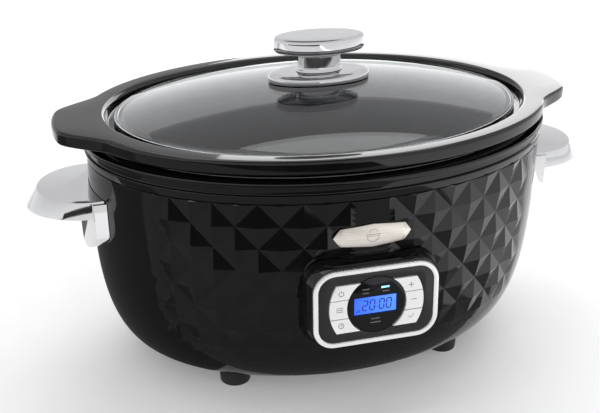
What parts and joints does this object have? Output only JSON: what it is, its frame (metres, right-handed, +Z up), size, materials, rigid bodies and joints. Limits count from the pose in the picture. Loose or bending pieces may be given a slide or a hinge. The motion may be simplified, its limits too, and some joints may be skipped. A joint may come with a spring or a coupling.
{
  "type": "slow cooker",
  "caption": "Oval countertop slow cooker with lift-out stoneware crock, glass lid with a chrome knob, side handles and a keypad panel with a lit display.",
  "frame": {"origin": "on the tabletop under the middle of the bounding box", "axes": "+X to the right along the long side, through the handles; +Y to the back, the panel faces -Y; +Z up"},
  "size_m": [0.437, 0.2653, 0.24],
  "materials": {
    "housing_gloss": "high gloss black enamel, embossed diamonds",
    "collar_gloss": "high gloss black",
    "pod_gloss": "high gloss black",
    "facia_plastic": "fine satin black",
    "window_plastic": "smoked gloss",
    "black_plastic": "satin black",
    "stoneware_glaze": "black gloss glaze",
    "lid_glass": "clear tempered glass",
    "chrome_plating": "polished",
    "satin_bezel": "satin silver",
    "badge_metal": "fine brushed, warm silver",
    "key_silver": "satin silver paint",
    "lcd_backlight": "blue backlit display",
    "status_light": "lit cyan lens",
    "foot_rubber": "matte",
    "silicone": "translucent silicone",
    "well_aluminium": "drawn, satin",
    "steel": "plated",
    "insulation": "glass fibre mat",
    "circuit_board": "solder mask"
  },
  "bodies": {
    "base": {"outer_housing": "housing_gloss", "rim_collar": "collar_gloss", "heating_well": "well_aluminium", "heater_band": "steel", "insulation_wrap": "insulation", "bottom_cover": "steel", "cover_screw_1": "steel", "cover_screw_2": "steel", "cover_screw_3": "steel", "cover_screw_4": "steel", "tie_bolt": "steel", "tie_nut": "steel", "foot_front_left": "foot_rubber", "foot_front_right": "foot_rubber", "foot_rear_left": "foot_rubber", "foot_rear_right": "foot_rubber", "foot_screw_1": "steel", "foot_screw_2": "steel", "foot_screw_3": "steel", "foot_screw_4": "steel", "power_board": "circuit_board", "power_relay": "black_plastic", "power_transformer": "steel", "temperature_sensor": "steel", "thermal_fuse": "steel", "cord_gland": "black_plastic", "handle_left": "chrome_plating", "handle_right": "chrome_plating", "handle_screw_1": "steel", "handle_screw_2": "steel", "handle_screw_3": "steel", "handle_screw_4": "steel", "panel_pod": "pod_gloss", "panel_bezel": "satin_bezel", "panel_facia": "facia_plastic", "display_window": "window_plastic", "indicator_led": "status_light", "keypad_sheet": "silicone", "lcd_module": "lcd_backlight", "control_board": "circuit_board", "name_badge": "badge_metal"},
    "crock": {"crock": "stoneware_glaze"},
    "lid": {"lid_glass": "lid_glass", "knob_gasket": "silicone", "knob_base": "chrome_plating", "knob_stem": "chrome_plating", "knob_cap": "chrome_plating", "knob_screw": "steel"},
    "key_power": {"key_power": "key_silver"},
    "key_mode": {"key_mode": "key_silver"},
    "key_timer": {"key_timer": "key_silver"},
    "key_plus": {"key_plus": "key_silver"},
    "key_minus": {"key_minus": "key_silver"},
    "key_enter": {"key_enter": "key_silver"}
  },
  "joints": [
    {"name": "crock_lift", "type": "slide", "parent": "base", "child": "crock", "axis": [0, 0, 1], "range_m": [0, 0.2]},
    {"name": "lid_lift", "type": "slide", "parent": "crock", "child": "lid", "axis": [0, 0, 1], "range_m": [0, 0.14]},
    {"name": "key_power_press", "type": "slide", "parent": "base", "child": "key_power", "axis": [0, 0.9984, -0.0558], "range_m": [0, 0.0008], "stiffness_N_per_m": 900, "springref_m": -0.001},
    {"name": "key_mode_press", "type": "slide", "parent": "base", "child": "key_mode", "axis": [0, 0.9984, -0.0558], "range_m": [0, 0.0008], "stiffness_N_per_m": 900, "springref_m": -0.001},
    {"name": "key_timer_press", "type": "slide", "parent": "base", "child": "key_timer", "axis": [0, 0.9984, -0.0558], "range_m": [0, 0.0008], "stiffness_N_per_m": 900, "springref_m": -0.001},
    {"name": "key_plus_press", "type": "slide", "parent": "base", "child": "key_plus", "axis": [0, 0.9984, -0.0558], "range_m": [0, 0.0008], "stiffness_N_per_m": 900, "springref_m": -0.001},
    {"name": "key_minus_press", "type": "slide", "parent": "base", "child": "key_minus", "axis": [0, 0.9984, -0.0558], "range_m": [0, 0.0008], "stiffness_N_per_m": 900, "springref_m": -0.001},
    {"name": "key_enter_press", "type": "slide", "parent": "base", "child": "key_enter", "axis": [0, 0.9984, -0.0558], "range_m": [0, 0.0008], "stiffness_N_per_m": 900, "springref_m": -0.001}
  ]
}
